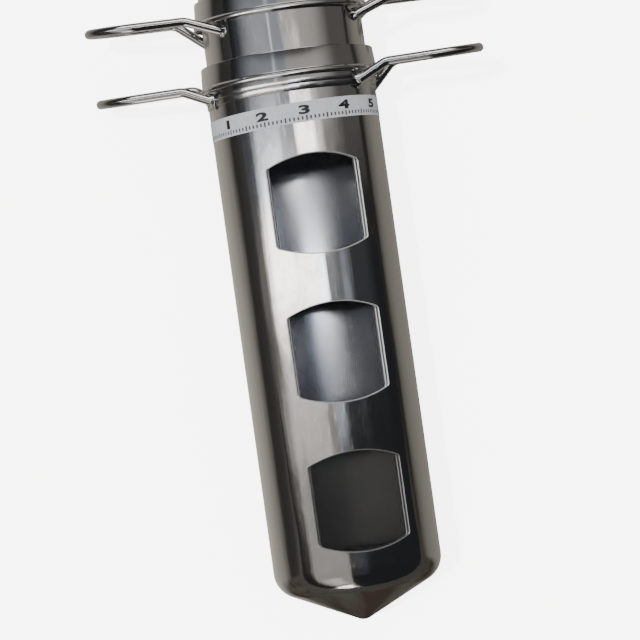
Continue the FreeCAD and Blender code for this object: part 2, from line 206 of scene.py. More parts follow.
def spread(tree, value, low, high, to_low, to_high):
    """Maps part of a pattern's range to another range, held at both ends."""
    ramp = tree.nodes.new("ShaderNodeMapRange")
    for socket, number in (("From Min", low), ("From Max", high), ("To Min", to_low), ("To Max", to_high)):
        ramp.inputs[socket].default_value = number
    tree.links.new(value, ramp.inputs["Value"])
    return ramp.outputs["Result"]


def blend_colours(tree, share, first, second):
    """Goes from the first colour to the second as share goes from 0 to 1."""
    mix = tree.nodes.new("ShaderNodeMix")
    mix.data_type = "RGBA"
    tree.links.new(share, mix.inputs[0])
    for socket, colour in ((mix.inputs[6], first), (mix.inputs[7], second)):
        if isinstance(colour, tuple):
            socket.default_value = (*colour, 1)
        else:
            tree.links.new(colour, socket)
    return mix.outputs[2]


def combine(tree, operation, first, second):
    """One step of arithmetic on two values, each a number or a socket."""
    node = tree.nodes.new("ShaderNodeMath")
    node.operation = operation
    for socket, value in zip(node.inputs, (first, second)):
        if isinstance(value, (int, float)):
            socket.default_value = value
        else:
            tree.links.new(value, socket)
    return node.outputs[0]


def relief(tree, shader, layers):
    """Chains bump layers, each (height, depth in metres), into the shader's normal."""
    normal = None
    for height, depth in layers:
        bump = tree.nodes.new("ShaderNodeBump")
        bump.inputs["Strength"].default_value = 1
        bump.inputs["Distance"].default_value = depth
        tree.links.new(height, bump.inputs["Height"])
        if normal is not None:
            tree.links.new(normal, bump.inputs["Normal"])
        normal = bump.outputs["Normal"]
    tree.links.new(normal, shader.inputs["Normal"])


def polished_steel(name, tone, dull, wave_depth):
    """Bright turned and buffed steel: slow waves in the polish, rub marks, water marks and handling haze."""
    made, tree, shader = new_material(name)
    shader.inputs["Metallic"].default_value = 1
    clouds = grain(tree, (1, 0.2, 1), 28, 3)
    stains = grain(tree, (1, 0.6, 1), 90, 4, 0.7)
    rub = grain(tree, (1, 14, 1), 260, 2)
    scratch = grain(tree, (1, 0.06, 1), 1900, 2)
    spots = spread(tree, stains, 0.62, 0.72, 0, 1)
    darker = tuple(channel * 0.9 for channel in tone)
    warmer = (tone[0] * 0.95, tone[1] * 0.9, tone[2] * 0.82)
    colour = blend_colours(tree, spread(tree, clouds, 0.35, 0.65, 0, 1), darker, tone)
    colour = blend_colours(tree, combine(tree, "MULTIPLY", spots, 0.5), colour, warmer)
    tree.links.new(colour, shader.inputs["Base Color"])
    haze = spread(tree, clouds, 0.3, 0.75, dull * 0.75, dull * 1.35)
    marks = spread(tree, scratch, 0.62, 0.8, 0, 0.12)
    rough = combine(tree, "ADD", haze, marks)
    rough = combine(tree, "ADD", rough, combine(tree, "MULTIPLY", spots, 0.05))
    tree.links.new(rough, shader.inputs["Roughness"])
    waves = grain(tree, (1, 0.16, 1), 55, 2, 0.4)
    lumps = grain(tree, (1, 0.35, 1), 130, 2, 0.5)
    drawn = grain(tree, (1, 0.02, 1), 420, 2, 0.6)
    relief(tree, shader, [(waves, wave_depth), (lumps, wave_depth * 0.14), (drawn, wave_depth * 0.07),
                          (rub, wave_depth * 0.004), (marks, 0.000004)])
    return made


def satin_steel(name, tone, dull, drawn, metal=1.0, foot_shade_tone=None, foot_dull=0.0):
    """Tube steel as drawn, unpolished: lengthwise draw lines spread the light round the tube, not along it.
    Its foot tone is painted shade that darkens the probe's foot, round the third window, and foot_dull dulls
    the foot there."""
    made, tree, shader = new_material(name)
    shader.inputs["Metallic"].default_value = metal
    shader.inputs["Anisotropic"].default_value = drawn
    around = tree.nodes.new("ShaderNodeTangent")
    around.direction_type = "RADIAL"
    around.axis = "Y"
    tree.links.new(around.outputs["Tangent"], shader.inputs["Tangent"])
    clouds = grain(tree, (1, 0.5, 1), 35, 3)
    lines = grain(tree, (1, 0.03, 1), 900, 3)
    specks = grain(tree, (1, 1, 1), 1500, 2, 0.7)
    darker = tuple(channel * 0.82 for channel in tone)
    colour = blend_colours(tree, spread(tree, clouds, 0.3, 0.7, 0, 1), darker, tone)
    shaded = tuple(channel * 0.9 for channel in tone)
    colour = blend_colours(tree, spread(tree, lines, 0.55, 0.75, 0, 0.6), colour, shaded)
    rough = combine(tree, "ADD", spread(tree, clouds, 0.3, 0.7, dull - 0.04, dull + 0.06),
                    spread(tree, specks, 0.5, 0.8, 0, 0.06))
    if foot_shade_tone:
        # Painted shade: round the third window the colour darkens towards the foot tone, and the steel is
        # dulled there.
        along, = parts_of_place(tree, "Y")
        foot_shade = spread(tree, along, *FOOT_SHADE_FADE, 1, 0)
        colour = blend_colours(tree, foot_shade, colour, foot_shade_tone)
        rough = combine(tree, "ADD", rough, combine(tree, "MULTIPLY", foot_shade, foot_dull))
    tree.links.new(colour, shader.inputs["Base Color"])
    tree.links.new(rough, shader.inputs["Roughness"])
    relief(tree, shader, [(lines, 0.000003), (specks, 0.0000015)])
    return made


def label_film():
    """Printed film: pale cool grey, a little mottled, with faint rubbed dirt."""
    made, tree, shader = new_material("label_film")
    fibre = grain(tree, (1, 1, 1), 700, 4)
    dirt = grain(tree, (1, 1, 1), 60, 4, 0.65)
    colour = blend_colours(tree, spread(tree, fibre, 0.3, 0.7, 0, 1), (0.25, 0.26, 0.28), (0.31, 0.32, 0.34))
    colour = blend_colours(tree, spread(tree, dirt, 0.58, 0.74, 0, 0.5), colour, (0.2, 0.202, 0.207))
    tree.links.new(colour, shader.inputs["Base Color"])
    tree.links.new(spread(tree, fibre, 0.3, 0.7, 0.38, 0.52), shader.inputs["Roughness"])
    relief(tree, shader, [(fibre, 0.000012), (dirt, 0.00003)])
    return made


def print_ink(name, tone):
    """Ink on the label, slightly worn so that the film shows through in specks."""
    made, tree, shader = new_material(name)
    wear = grain(tree, (1, 1, 1), 1100, 3, 0.7)
    faded = tuple(0.8 * channel + 0.03 for channel in tone)
    colour = blend_colours(tree, spread(tree, wear, 0.5, 0.75, 0, 0.8), tone, faded)
    tree.links.new(colour, shader.inputs["Base Color"])
    tree.links.new(spread(tree, wear, 0.3, 0.8, 0.4, 0.6), shader.inputs["Roughness"])
    relief(tree, shader, [(wear, 0.000006)])
    return made


def floor_paint():
    """Plain pale floor, with a painted reflection for the mirror-bright steel: glossy rays see it darker,
    palest beside the tube, fading to either side (much slower on the right), and brown ahead of the nose."""
    made, tree, shader = new_material("floor")
    mottle = grain(tree, (1, 1, 1), 6, 5)
    pale = blend_colours(tree, spread(tree, mottle, 0.3, 0.7, 0, 1), (0.86, 0.855, 0.84), (0.9, 0.895, 0.885))
    across, along = parts_of_place(tree, "X", "Y")
    left_run = combine(tree, "MULTIPLY", across, -1)
    right_run = combine(tree, "ADD", combine(tree, "MULTIPLY", across, 1 + RIGHT_RATE), RIGHT_START)
    on_right = spread(tree, across, 0, 0.01, 0, 1)
    away = combine(tree, "ADD", left_run, combine(tree, "MULTIPLY", on_right, right_run))
    near = combine(tree, "POWER", spread(tree, away, *FLOOR_FADE, 1, 0), FLOOR_FADE_POWER)
    beside = blend_colours(tree, near, MIRRORED_FLOOR_FAR, MIRRORED_FLOOR_NEAR)
    patches = grain(tree, (1, 1, 1), 26, 2)
    ahead = blend_colours(tree, spread(tree, patches, 0.42, 0.58, 0, 1), MIRRORED_FLOOR_PATCH, MIRRORED_FLOOR_AHEAD)
    mirrored = blend_colours(tree, spread(tree, along, *AHEAD_FADE, 1, 0), beside, ahead)
    mirrored = blend_colours(tree, spread(tree, along, *BEYOND_FADE, 1, 0), mirrored, MIRRORED_FLOOR_BEYOND)
    # Glossy rays see the painted reflection instead of the pale floor.
    path = tree.nodes.new("ShaderNodeLightPath")
    colour = blend_colours(tree, path.outputs["Is Glossy Ray"], pale, mirrored)
    tree.links.new(colour, shader.inputs["Base Color"])
    shader.inputs["Roughness"].default_value = 0.7
    shader.inputs["Specular IOR Level"].default_value = 0.2
    shader.inputs["Emission Color"].default_value = (*FILL_TONE, 1)
    glow = combine(tree, "MULTIPLY", path.outputs["Is Camera Ray"], FLOOR_GLOW)
    tree.links.new(glow, shader.inputs["Emission Strength"])
    return made


# The painted reflection of the floor in the steel: colours, and where they change, in metres across and along
# the tube
MIRRORED_FLOOR_NEAR = (0.314, 0.292, 0.264)
MIRRORED_FLOOR_FAR = (0.0101, 0.00929, 0.00844)
MIRRORED_FLOOR_AHEAD = (0.0439, 0.0422, 0.0355)
MIRRORED_FLOOR_PATCH = (0.027, 0.0186, 0.0152)
MIRRORED_FLOOR_BEYOND = (0.0338, 0.0321, 0.0287)
FLOOR_FADE = (0.03, 0.2)
FLOOR_FADE_POWER = 1.3
RIGHT_START = 0.1026
RIGHT_RATE = 0.14
AHEAD_FADE = (-0.16, -0.135)
BEYOND_FADE = (-0.26, -0.235)

# How much the floor glows to the camera, and the tone of that glow and of the studio's even fill
FLOOR_GLOW = 5.0
FILL_TONE = (1.0, 0.995, 0.985)

# Finishes of the pieces. The painted shade on the probe's foot begins between the two places of the fade on
# the next line, in metres along the tube.
FOOT_SHADE_FADE = (-0.064, -0.049)
TUBE_FINISH = polished_steel("tube_polish", (0.60, 0.59, 0.575), 0.085, 0.00045)
RING_FINISH = polished_steel("collar_polish", (0.60, 0.59, 0.575), 0.12, 0.00022)
WIRE_FINISH = polished_steel("wire_polish", (0.62, 0.61, 0.6), 0.11, 0.00003)
# The foot tones of the bore, the cut faces and the filed edges are painted shade round the third window.
BORE_FINISH = satin_steel("bore_satin", (0.52, 0.535, 0.57), 0.14, 1.0, 0.96, (0.2, 0.197, 0.193), 0.3)
DISC_FINISH = satin_steel("disc_satin", (0.3, 0.3, 0.31), 0.5, 0.0)
CUT_FINISH = satin_steel("cut_faces", (0.62, 0.62, 0.62), 0.3, 0.0, 0.96, (0.34, 0.34, 0.34))
EDGE_FINISH = satin_steel("filed_edges", (0.72, 0.72, 0.7), 0.3, 0.0, 0.78, (0.27, 0.27, 0.265))
LABEL_FINISH = label_film()
DIGIT_INK = print_ink("digit_ink", (0.005, 0.0052, 0.006))
TICK_INK = print_ink("tick_ink", (0.03, 0.031, 0.035))


# From points to meshes

def show(name, data):
    """Puts a mesh, figure, lamp or camera into the scene, at the origin."""
    item = bpy.data.objects.new(name, data)
    bpy.context.scene.collection.objects.link(item)
    return item


def tidy_mesh(mesh, sharp):
    """Merges doubles, turns faces outwards and shades smoothly up to an edge angle in degrees."""
    work = bmesh.new()
    work.from_mesh(mesh)
    bmesh.ops.remove_doubles(work, verts=work.verts, dist=1e-7)
    bmesh.ops.dissolve_degenerate(work, edges=work.edges, dist=1e-7)
    bmesh.ops.recalc_face_normals(work, faces=work.faces)
    work.to_mesh(mesh)
    work.free()
    mesh.shade_smooth()
    mesh.set_sharp_from_angle(angle=math.radians(sharp))
    mesh.update()


def new_tree(name, inputs):
    """An empty node group with a geometry in, a geometry out and named sizes."""
    group = bpy.data.node_groups.new(name, "GeometryNodeTree")
    face = group.interface
    face.new_socket("Geometry", in_out="INPUT", socket_type="NodeSocketGeometry")
    for label, kind in inputs:
        face.new_socket(label, in_out="INPUT", socket_type="NodeSocket" + kind)
    face.new_socket("Geometry", in_out="OUTPUT", socket_type="NodeSocketGeometry")
    return group, group.nodes.new("NodeGroupInput"), group.nodes.new("NodeGroupOutput")


def coat_and_end(group, sizes, shape, sink):
    """Ends a tree: makes its shape real and gives it the finish named in its sizes."""
    real = group.nodes.new("GeometryNodeRealizeInstances")
    coat = group.nodes.new("GeometryNodeSetMaterial")
    group.links.new(shape, real.inputs["Geometry"])
    group.links.new(real.outputs["Geometry"], coat.inputs["Geometry"])
    group.links.new(sizes.outputs["Finish"], coat.inputs["Material"])
    group.links.new(coat.outputs["Geometry"], sink.inputs["Geometry"])


def grow(name, start, group, settings):
    """Runs a node group on a starting mesh and returns the plain mesh that comes out."""
    draft = show(name + "_draft", start)
    made = draft.modifiers.new("shape", "NODES")
    made.node_group = group
    names = {s.name: s.identifier for s in group.interface.items_tree if s.in_out == "INPUT"}
    for label, value in settings.items():
        made[names[label]] = value
    bpy.context.view_layer.update()
    seen = draft.evaluated_get(bpy.context.evaluated_depsgraph_get())
    mesh = bpy.data.meshes.new_from_object(seen)
    mesh.name = name
    draft.modifiers.remove(made)
    bpy.data.objects.remove(draft)
    return mesh


def outline_mesh(name, points, closed, marks=None):
    """A line of points as a mesh of edges. marks is {name: one number for each point}."""
    mesh = bpy.data.meshes.new(name)
    count = len(points)
    edges = [(i, i + 1) for i in range(count - 1)] + ([(count - 1, 0)] if closed else [])
    mesh.from_pydata(points, edges, [])
    for label, values in (marks or {}).items():
        mesh.attributes.new(label, "FLOAT", "POINT").data.foreach_set("value", values)
    return mesh


def turning_tree():
    """Turns an outline round the axis, as on a lathe. The circle it follows has a radius of 1."""
    group, sizes, sink = new_tree("turned_piece", [("Sides", "Int"), ("Finish", "Material")])
    nodes, links = group.nodes, group.links
    circle = nodes.new("GeometryNodeCurvePrimitiveCircle")
    circle.inputs["Radius"].default_value = 1
    links.new(sizes.outputs["Sides"], circle.inputs["Resolution"])
    outline = nodes.new("GeometryNodeMeshToCurve")
    links.new(sizes.outputs["Geometry"], outline.inputs["Mesh"])
    lathe = nodes.new("GeometryNodeCurveToMesh")
    links.new(circle.outputs["Curve"], lathe.inputs["Curve"])
    links.new(outline.outputs["Curve"], lathe.inputs["Profile Curve"])
    merge = nodes.new("GeometryNodeMergeByDistance")
    merge.inputs["Distance"].default_value = 0.0005
    links.new(lathe.outputs["Mesh"], merge.inputs["Geometry"])
    coat_and_end(group, sizes, merge.outputs["Geometry"], sink)
    return group


def wire_tree():
    """Bends a line of corners into wire, rounds each corner by its own radius and thickens the ends for the
    welds."""
    group, sizes, sink = new_tree("bent_wire", [("Wire radius", "Float"), ("Weld length", "Float"),
                                                ("Weld growth", "Float"), ("Finish", "Material")])
    nodes, links = group.nodes, group.links
    line = nodes.new("GeometryNodeMeshToCurve")
    links.new(sizes.outputs["Geometry"], line.inputs["Mesh"])
    bend = nodes.new("GeometryNodeInputNamedAttribute")
    bend.data_type = "FLOAT"
    bend.inputs["Name"].default_value = "bend"
    round_off = nodes.new("GeometryNodeFilletCurve")
    round_off.mode = "POLY"
    round_off.inputs["Count"].default_value = 20
    round_off.inputs["Limit Radius"].default_value = True
    links.new(line.outputs["Curve"], round_off.inputs["Curve"])
    links.new(bend.outputs["Attribute"], round_off.inputs["Radius"])
    even = nodes.new("GeometryNodeResampleCurve")
    even.mode = "LENGTH"
    even.inputs["Length"].default_value = 0.0006
    links.new(round_off.outputs["Curve"], even.inputs["Curve"])
    run = nodes.new("GeometryNodeSplineParameter")
    whole = nodes.new("GeometryNodeSplineLength")
    rest = nodes.new("ShaderNodeMath")
    rest.operation = "SUBTRACT"
    links.new(whole.outputs["Length"], rest.inputs[0])
    links.new(run.outputs["Length"], rest.inputs[1])
    nearest = nodes.new("ShaderNodeMath")
    nearest.operation = "MINIMUM"
    links.new(run.outputs["Length"], nearest.inputs[0])
    links.new(rest.outputs[0], nearest.inputs[1])
    fade = nodes.new("ShaderNodeMapRange")
    fade.interpolation_type = "SMOOTHSTEP"
    fade.inputs["To Max"].default_value = 1
    links.new(nearest.outputs[0], fade.inputs["Value"])
    links.new(sizes.outputs["Weld length"], fade.inputs["From Max"])
    links.new(sizes.outputs["Weld growth"], fade.inputs["To Min"])
    thick = nodes.new("GeometryNodeSetCurveRadius")
    links.new(even.outputs["Curve"], thick.inputs["Curve"])
    links.new(fade.outputs["Result"], thick.inputs["Radius"])
    section = nodes.new("GeometryNodeCurvePrimitiveCircle")
    section.inputs["Resolution"].default_value = 28
    links.new(sizes.outputs["Wire radius"], section.inputs["Radius"])
    rod = nodes.new("GeometryNodeCurveToMesh")
    rod.inputs["Fill Caps"].default_value = True
    links.new(thick.outputs["Curve"], rod.inputs["Curve"])
    links.new(section.outputs["Curve"], rod.inputs["Profile Curve"])
    coat_and_end(group, sizes, rod.outputs["Mesh"], sink)
    return group


def tick_tree():
    """Repeats a short upright bar along a row of points, each as tall as its point says."""
    group, sizes, sink = new_tree("tick_row", [("Bar width", "Float"), ("Bar height", "Float"),
                                               ("Print depth", "Float"), ("Finish", "Material")])
    nodes, links = group.nodes, group.links
    size = nodes.new("ShaderNodeCombineXYZ")
    for axis, label in (("X", "Bar width"), ("Y", "Bar height"), ("Z", "Print depth")):
        links.new(sizes.outputs[label], size.inputs[axis])
    bar = nodes.new("GeometryNodeMeshCube")
    links.new(size.outputs["Vector"], bar.inputs["Size"])
    bar.inputs["Vertices X"].default_value = 2
    bar.inputs["Vertices Y"].default_value = 4
    tall = nodes.new("GeometryNodeInputNamedAttribute")
    tall.data_type = "FLOAT"
    tall.inputs["Name"].default_value = "tall"
    stretch = nodes.new("ShaderNodeCombineXYZ")
    stretch.inputs["X"].default_value = 1
    stretch.inputs["Z"].default_value = 1
    links.new(tall.outputs["Attribute"], stretch.inputs["Y"])
    row = nodes.new("GeometryNodeInstanceOnPoints")
    links.new(sizes.outputs["Geometry"], row.inputs["Points"])
    links.new(bar.outputs["Mesh"], row.inputs["Instance"])
    links.new(stretch.outputs["Vector"], row.inputs["Scale"])
    coat_and_end(group, sizes, row.outputs["Instances"], sink)
    return group


TURNING = turning_tree()
BENDING = wire_tree()
TICKING = tick_tree()


# Pieces

def arc(centre_radius, centre_height, radius, start, end, steps):
    """Points of an arc in (radius, height); angles from straight down, towards the outside."""
    return [(centre_radius + radius * math.sin(start + (end - start) * i / steps),
             centre_height - radius * math.cos(start + (end - start) * i / steps)) for i in range(steps + 1)]


def soften(corners, bevels):
    """An outline with some of its corners rounded. bevels is {corner number: radius}."""
    made = []
    count = len(corners)
    for i, corner in enumerate(corners):
        here = Vector(corner)
        if i not in bevels:
            made.append(tuple(here))
            continue
        back = (Vector(corners[i - 1]) - here).normalized()
        ahead = (Vector(corners[(i + 1) % count]) - here).normalized()
        half = back.angle(ahead) / 2
        run = bevels[i] / math.tan(half)
        centre = here + (back + ahead).normalized() * (bevels[i] / math.sin(half))
        start, end = here + back * run - centre, here + ahead * run - centre
        turn = start.angle_signed(end)
        for step in range(BEVEL_STEPS + 1):
            made.append(tuple(centre + Matrix.Rotation(-turn * step / BEVEL_STEPS, 2) @ start))
    return made


def turned(name, outline, finish):
    """A piece turned from an outline of (radius, height)."""
    points = [(radius - 1, -height, 0) for radius, height in outline]
    mesh = grow(name, outline_mesh(name + "_outline", points, True), TURNING,
                {"Sides": SIDES, "Finish": finish})
    mesh.transform(lay_down())
    tidy_mesh(mesh, sharp=28)
    return show(name, mesh)


def nose():
    """The blunt cone with its rounded shoulder, and the register that centres it in the tube."""
    outline = arc(0, TIP_RADIUS, TIP_RADIUS, 0, FLANK_SLOPE, 8)
    outline += arc(TUBE_RADIUS - SHOULDER_RADIUS, SEAM - SHOULDER_DROP, SHOULDER_RADIUS,
                   FLANK_SLOPE, math.pi / 2, 20)
    register = TUBE_BORE - FIT_GAP
    hollow = TUBE_BORE - NOSE_WALL
    register_top = SEAM + REGISTER_LENGTH
    outline += [(TUBE_RADIUS, SEAM), (register, SEAM), (register, register_top), (hollow, register_top),
                (hollow, SEAM - HOLLOW_DROP), (0, HOLLOW_FOOT)]
    return turned("nose", outline, TUBE_FINISH)


def ring():
    """The thin ring of two steps under the lower collar."""
    bore = TUBE_RADIUS + SEATING
    small = TUBE_RADIUS + FIT_GAP + RING_SMALL_WALL
    large = TUBE_RADIUS + FIT_GAP + RING_LARGE_WALL
    top = LOWER_LIP - LIP_GAP
    corners = [(bore, RING_FOOT), (small, RING_FOOT), (small, RING_STEP), (large, RING_STEP),
               (large, top), (bore, top)]
    return turned("step_ring", soften(corners, RING_BEVELS), RING_FINISH)


def collar(name, seat, wall, lip):
    """A collar that flares towards its lower edge and ends there in a lip."""
    top = seat + FIT_GAP + wall
    flared = top + COLLAR_FLARE
    rim = flared + LIP_PROJECTION
    shelf = lip + LIP_HEIGHT
    bore = seat + SEATING
    corners = [(bore, lip), (rim, lip), (rim, shelf), (flared, shelf + LIP_PROJECTION),
               (top, lip + COLLAR_LENGTH), (bore, lip + COLLAR_LENGTH)]
    bevels = {1: EDGE_BEVEL, 2: EDGE_BEVEL, 3: SHELF_BEVEL, 4: EDGE_BEVEL}
    return turned(name, soften(corners, bevels), RING_FINISH)


def window_outline(radius, foot, grow_by=0.0):
    """The edge of a window on a tube of that radius, as (angle, height), anticlockwise seen from outside.
    A quarter of it is drawn, from the top of the arch to the middle of the right side, and mirrored."""
    half_chord = radius * math.sin(WINDOW_HALF_ANGLE)
    middle = foot + WINDOW_LENGTH / 2
    low_centre = foot + WINDOW_ARCH
    drop = low_centre - math.sqrt(WINDOW_ARCH ** 2 - half_chord ** 2)
    corner = Vector((radius * WINDOW_HALF_ANGLE, drop))
    fall = half_chord / math.sqrt(WINDOW_ARCH ** 2 - half_chord ** 2) * math.cos(WINDOW_HALF_ANGLE)
    side, arch = Vector((0, 1)), Vector((-1, -fall)).normalized()
    half = side.angle(arch) / 2
    run = WINDOW_CORNER / math.tan(half)
    centre = corner + (side + arch).normalized() * (WINDOW_CORNER / math.sin(half))
    quarter = []
    arch_start = corner + arch * run
    widest = math.sin(arch_start.x / radius) * radius
    for i in range(ARCH_STEPS + 1):
        x = widest * i / ARCH_STEPS
        quarter.append(Vector((radius * math.asin(x / radius),
                               low_centre - math.sqrt(WINDOW_ARCH ** 2 - x ** 2))))
    quarter[-1] = arch_start
    first, last = arch_start - centre, corner + side * run - centre
    turn = first.angle_signed(last)
    for i in range(1, CORNER_STEPS + 1):
        quarter.append(centre + Matrix.Rotation(-turn * i / CORNER_STEPS, 2) @ first)
    top = quarter[-1].y
    for i in range(1, SIDE_STEPS + 1):
        quarter.append(Vector((corner.x, top + (middle - top) * i / SIDE_STEPS)))
    right = quarter + [Vector((p.x, 2 * middle - p.y)) for p in reversed(quarter[:-1])]
    loop = right + [Vector((-p.x, p.y)) for p in reversed(right[1:-1])]
    if grow_by:
        count = len(loop)
        moved = []
        for i, p in enumerate(loop):
            along = (loop[(i + 1) % count] - loop[i - 1]).normalized()
            moved.append(p + Vector((along.y, -along.x)) * grow_by)
        loop = moved
    return [(p.x / radius, p.y) for p in loop]


def inside(point, loop):
    """True where a point lies within a closed convex loop that runs anticlockwise."""
    count = len(loop)
    for i in range(count):
        a, b = loop[i], loop[(i + 1) % count]
        if (b[0] - a[0]) * (point[1] - a[1]) - (b[1] - a[1]) * (point[0] - a[0]) < 0:
            return False
    return True


def turns_round():
    """The angles of a tube's columns of points, from the rear all the way round to the rear."""
    return [FULL_TURN * (i / SIDES - 0.5) for i in range(SIDES + 1)]


def sheet(radius, foot, top, loops):
    """A tube's unrolled wall with holes: points as (angle, height), triangles, each loop's point numbers."""
    rows = max(2, round((top - foot) / ROW_STEP))
    heights = [foot + (top - foot) * i / rows for i in range(rows + 1)]
    angles = turns_round()
    grown = [[(a * radius, h) for a, h in loop] for loop in loops]
    points, edges, starts = [], [], []
    for loop in grown:
        starts.append(len(points))
        count = len(loop)
        edges += [(len(points) + i, len(points) + (i + 1) % count) for i in range(count)]
        points += [Vector(p) for p in loop]
    boxes = [(min(p[0] for p in loop) - WINDOW_MARGIN, max(p[0] for p in loop) + WINDOW_MARGIN,
              min(p[1] for p in loop) - WINDOW_MARGIN, max(p[1] for p in loop) + WINDOW_MARGIN)
             for loop in grown]

    def free(p):
        """True where a point is in no window and not too near to the edge of one."""
        for box, loop in zip(boxes, grown):
            if box[0] < p[0] < box[1] and box[2] < p[1] < box[3]:
                nearest = min((p[0] - q[0]) ** 2 + (p[1] - q[1]) ** 2 for q in loop)
                return not inside(p, loop) and nearest >= NEAR_EDGE_SQUARED
        return True

    grid = [(angle * radius, height) for height in heights for angle in angles]
    points += [Vector(p) for p in grid if free(p)]
    made, _, faces, origins, _, _ = delaunay_2d_cdt(points, edges, [], 0, 1e-5)
    number = {}
    for new, sources in enumerate(origins):
        for source in sources:
            number[source] = new
    rings = [[number[start + i] for i in range(len(loop))] for start, loop in zip(starts, grown)]
    kept = []
    for face in faces:
        middle = sum((made[i] for i in face), Vector((0, 0))) / len(face)
        if not any(box[0] < middle.x < box[1] and box[2] < middle.y < box[3] and inside(middle, loop)
                   for box, loop in zip(boxes, grown)):
            kept.append(tuple(face))
    return [(p.x / radius, p.y) for p in made], kept, rings


def windowed_tube(name, radius, bore, foot, top, finishes, end_bevel):
    """A tube with its windows cut through and their outer edges deburred.
    finishes: outside, inside, cut faces and filed edges."""
    feet = [WINDOW_FOOT + i * WINDOW_PITCH for i in range(WINDOW_COUNT)]
    verts, faces, kinds = [], [], []

    def add(points, at_radius):
        start = len(verts)
        verts.extend(place(angle, at_radius, height) for angle, height in points)
        return start

    wide = [window_outline(radius, f, DEBURR_WIDTH) for f in feet]
    plain = [window_outline(radius - DEBURR_DEPTH, f) for f in feet]
    deep = [window_outline(bore, f) for f in feet]
    points, skin, rings = sheet(radius, foot, top - end_bevel, wide)
    start = add(points, radius)
    faces += [tuple(start + i for i in face) for face in skin]
    kinds += ["outside"] * len(skin)
    outer_rings = [[start + i for i in loop] for loop in rings]
    points, skin, rings = sheet(bore, foot, top - end_bevel, deep)
    start = add(points, bore)
    faces += [tuple(start + i for i in reversed(face)) for face in skin]
    kinds += ["inside"] * len(skin)
    inner_rings = [[start + i for i in loop] for loop in rings]
    for outer, loop, inner in zip(outer_rings, plain, inner_rings):
        start = add(loop, radius - DEBURR_DEPTH)
        count = len(loop)
        middle = list(range(start, start + count))
        for a, b, kind in ((outer, middle, "deburr"), (middle, inner, "cut")):
            for i in range(count):
                j = (i + 1) % count
                faces.append((a[i], a[j], b[j], b[i]))
                kinds.append(kind)
    square_end = [(radius, foot), (bore, foot)]
    bevelled_end = [(bore, top - end_bevel), (bore + end_bevel, top), (radius - end_bevel, top),
                    (radius, top - end_bevel)]
    for path in (square_end, bevelled_end):
        rows = [add([(angle, height) for angle in turns_round()], at) for at, height in path]
        for a, b in zip(rows, rows[1:]):
            for i in range(SIDES):
                faces.append((a + i, a + i + 1, b + i + 1, b + i))
                kinds.append("end")
    mesh = bpy.data.meshes.new(name)
    mesh.from_pydata(verts, [], faces)
    slots = {"outside": 0, "inside": 1, "cut": 2, "deburr": 3, "end": 0}
    for finish in finishes:
        mesh.materials.append(finish)
    mesh.polygons.foreach_set("material_index", [slots[kind] for kind in kinds])
    tidy_mesh(mesh, sharp=30)
    true_round(mesh)
    return show(name, mesh)


def true_round(mesh):
    """Gives the faces of a tube's two walls the exact normals of a cylinder, so that it mirrors cleanly."""
    normals = [Vector(item.vector) for item in mesh.corner_normals]
    for face in mesh.polygons:
        out = Vector((face.center.x, 0, face.center.z - AXIS_HEIGHT * MM)).normalized()
        facing = face.normal.dot(out)
        if abs(facing) < 0.999:
            continue
        for corner in face.loop_indices:
            point = mesh.vertices[mesh.loops[corner].vertex_index].co
            radial = Vector((point.x, 0, point.z - AXIS_HEIGHT * MM)).normalized()
            normals[corner] = radial if facing > 0 else -radial
    mesh.normals_split_custom_set([tuple(n) for n in normals])


def envelope(height, upper):
    """Radius of what a loop is welded on, at a height."""
    if upper and height < UPPER_LIP:
        return INNER_RADIUS
    if upper:
        return INNER_RADIUS + UPPER_COLLAR_WALL + COLLAR_FLARE + LIP_PROJECTION
    if height < RING_FOOT:
        return TUBE_RADIUS
    if height < RING_STEP:
        return TUBE_RADIUS + RING_SMALL_WALL
    if height < LOWER_LIP:
        return TUBE_RADIUS + RING_LARGE_WALL
    return TUBE_RADIUS + LOWER_COLLAR_WALL + COLLAR_FLARE + LIP_PROJECTION


def swell_bead(vertex, weld, seat):
    """Pushes the skin of a root outwards where it meets the tube, as a lumpy bead of weld."""
    spot = vertex.co / MM
    above = math.hypot(spot.x, spot.y) - seat
    if above > BEAD_HEIGHT or (spot - weld).length > BEAD_REACH:
        return
    outward = Vector((weld.x, weld.y, 0)).normalized()
    away = spot - weld
    away -= away.dot(outward) * outward
    around = math.atan2(away.z, away.dot(outward.cross(Vector((0, 0, 1)))))
    lumps = (1 + BEAD_LUMP_SHARE * math.sin(BEAD_LUMPS * around)
             + BEAD_DRIFT_SHARE * math.sin(BEAD_DRIFTS * around + weld.z))
    fall = math.sqrt(max(0, 1 - (max(0, above) / BEAD_HEIGHT) ** 2))
    vertex.co += away.normalized() * BEAD_GROWTH * lumps * fall * MM


